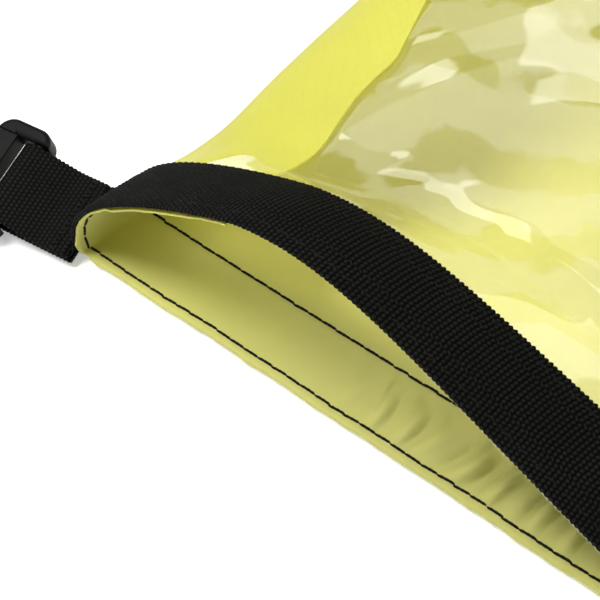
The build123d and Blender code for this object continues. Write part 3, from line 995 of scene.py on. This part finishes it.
def row_on_grid(grid, rows, v, start, end, outward, seed):
    """Stitch places on one row of a surface, from a start to an end along it."""
    n = normals_of(grid)
    k = np.searchsorted(rows, v) - 1
    f = (v - rows[k]) / (rows[k + 1] - rows[k])
    line = grid[k] * (1 - f) + grid[k + 1] * f
    up = n[k] * outward
    run = run_along(line)
    rng = np.random.default_rng(seed)
    places = []
    count = round((end - start) / stitch_pitch)
    pitch = (end - start) / count
    for i in range(count):
        at = start + (i + 0.5) * pitch + rng.normal(0, 0.08 * mm)
        point = np.array([np.interp(at, run, line[:, c]) for c in range(3)])
        ahead = np.array([np.interp(at + mm, run, line[:, c]) for c in range(3)])
        normal = np.array([np.interp(at, run, up[:, c]) for c in range(3)])
        normal /= np.linalg.norm(normal)
        way = ahead - point
        way -= normal * (way @ normal)
        way /= np.linalg.norm(way)
        side = np.cross(normal, way)
        slant = math.radians(2.0 + rng.normal(0, 1.2))
        way = way * math.cos(slant) + side * math.sin(slant)
        places.append((point + side * rng.normal(0, 0.06 * mm), way, normal, stitch_length))
    return places


def back_row(name, node, v, seed):
    """One stitch row through the back panel, as it shows inside the mouth."""
    k = np.searchsorted(rows_v, v)
    line = cloth_inner[k]
    under = np.where((lying[k] > 0.02) & (np.abs(line[:, 0]) < mouth_half - 1.2 * mm))[0]
    run = run_along(line)
    start, end = run[under[0]] - 2 * mm, run[under[-1]] + 2 * mm
    places = row_on_grid(cloth_inner, rows_v, v, start, end, -1, seed)
    stitches(name, places, "mouth_band", node)


back_row("back_outer_thread", "back_outer_stitches", row_near, 51)
back_row("back_inner_thread", "back_inner_stitches", row_far, 52)


def front_row(name, node, v, seed):
    """One stitch row through the front: on top of the webbing, and inside on the cloth."""
    at = (v - web_start) - web_width / 2
    k = int(np.searchsorted(w_steps, at))
    top = front_grid + normals_of(front_grid) * (web_thick / 2 - 0.75 * mm)
    end = run_along(top[k])[-1]
    places = row_on_grid(top, w_steps, at, 7 * mm, end - 7 * mm, 1, seed)
    k = np.searchsorted(rows_v, v)
    line = cloth_inner[k]
    upright = lying[k] < 0.5
    run = run_along(line)
    left = np.where(upright & (line[:, 0] < 0))[0]
    right = np.where(upright & (line[:, 0] > 0))[0]
    for part in (left, right):
        start, end = run[part[0]] - 1 * mm, run[part[-1]] - 2 * mm
        places += row_on_grid(cloth_inner, rows_v, v, start, end, -1, seed + 1)
    stitches(name, places, "mouth_band", node)


front_row("front_outer_thread", "front_outer_stitches", row_near, 53)
front_row("front_inner_thread", "front_inner_stitches", front_row_far, 55)


def bar_tack(side, body, node):
    """Close zigzag of short stitches that holds a strap's layers together."""
    places = []
    top = high_layer + web_thick / 2 - 0.15 * mm
    for i in range(15):
        slant = 0.32 * (-1) ** i
        middle = strap_point(side, 6.5 * mm, (i - 7) * 1.6 * mm, top)
        _, out, rear, normal = straps[side]
        way = out * math.cos(slant) + rear * math.sin(slant)
        places.append((middle, way, normal, 2.6 * mm))
    stitches(side + "_tack_thread", places, body, node)


bar_tack("left", "left_strap", "left_bar_tack")
bar_tack("right", "right_strap", "right_bar_tack")

# ---- Base ----


def base_disc():
    """Round base, slightly domed, drawn into small puckers along its seam."""
    rings, sides = 26, 180
    turn = np.linspace(0, 2 * math.pi, sides, endpoint=False)
    radius = np.linspace(0.02, 1, rings)
    r, a = np.meshgrid(radius, turn, indexing="ij")
    dome = 2.2 * mm * (1 - r**2)
    near_seam = step(0.8, 0.97, r) * (1 - step(0.985, 1, r))
    pucker = 0.5 * mm * np.sin(a * 34 + 3 * noise(a * 3, r * 3, 61)) * near_seam
    broad = 1.2 * mm * noise(r * np.cos(a) * 2 + 5, r * np.sin(a) * 2 + 5, 62) * (1 - r**2)
    x = base_x + r * base_round * np.cos(a)
    z = base_round + r * base_round * np.sin(a)
    y_out = base_high.y + (dome + pucker + broad) * 0.8
    y_in = y_out - (base_high.y - base_low.y)
    outer = np.stack([x, y_out, z], axis=-1).reshape(-1, 3)
    inner = np.stack([x, y_in, z], axis=-1).reshape(-1, 3)
    count = rings * sides
    verts = np.concatenate([outer, inner])
    faces, slots = [], []
    for i in range(rings - 1):
        for j in range(sides):
            k = (j + 1) % sides
            a0, b0 = i * sides + j, i * sides + k
            c0, d0 = b0 + sides, a0 + sides
            faces.append([a0, b0, c0, d0])
            slots.append(0)
            faces.append([count + d0, count + c0, count + b0, count + a0])
            slots.append(1)
    for j in range(sides):
        k = (j + 1) % sides
        a0, b0 = (rings - 1) * sides + j, (rings - 1) * sides + k
        faces.append([a0, b0, b0 + count, a0 + count])
        slots.append(0)
    faces.append(list(range(sides))[::-1])
    slots.append(0)
    faces.append([count + j for j in range(sides)])
    slots.append(1)
    uv = np.column_stack([verts[:, 0], verts[:, 2]])
    disc = to_object("base_cloth", verts, faces, [outside_mat, inside_mat_painted_bright], np.array(slots), uv)
    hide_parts("base_panel")
    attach(disc, "bag")
    return disc


base = base_disc()


def seam_tape(radius_out, radius_in, y0, y1, wave):
    """Thin closed ring of tape that lies along the base's seam."""
    sides, rows = 200, 8
    turn = np.linspace(0, 2 * math.pi, sides + 1)
    ys = np.linspace(y0, y1, rows)
    yy, aa = np.meshgrid(ys, turn, indexing="ij")
    ripple = wave * noise(np.cos(aa) * 6 + 9, np.sin(aa) * 6 + yy / (4 * mm) + 9, 71)
    grids = []
    for radius in (radius_out, radius_in):
        r = radius - np.abs(ripple)
        grids.append(np.stack([base_x + r * np.cos(aa), yy, base_round + r * np.sin(aa)], axis=-1))
    uv = np.stack([aa * radius_out, yy], axis=-1)
    ring = sheet_object("base_tape", grids[0][:, ::-1], grids[1][:, ::-1], uv[:, ::-1], [tape_mat])
    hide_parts("base_seam_tape")
    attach(ring, "bag")


tape_low, tape_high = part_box("base_seam_tape")
tape_radius = (tape_high.x - tape_low.x) / 2
tape_thick = 0.3 * mm
seam_tape(tape_radius, tape_radius - tape_thick, tape_low.y, tape_high.y, 0.2 * mm)

# ---- Buckle halves keep their CAD shape and get the moulded material ----

for node in ("male_buckle", "front_release_arm", "rear_release_arm", "female_buckle"):
    part = frame["nodes"][node]
    part.data.materials.clear()
    part.data.materials.append(plastic_mat)
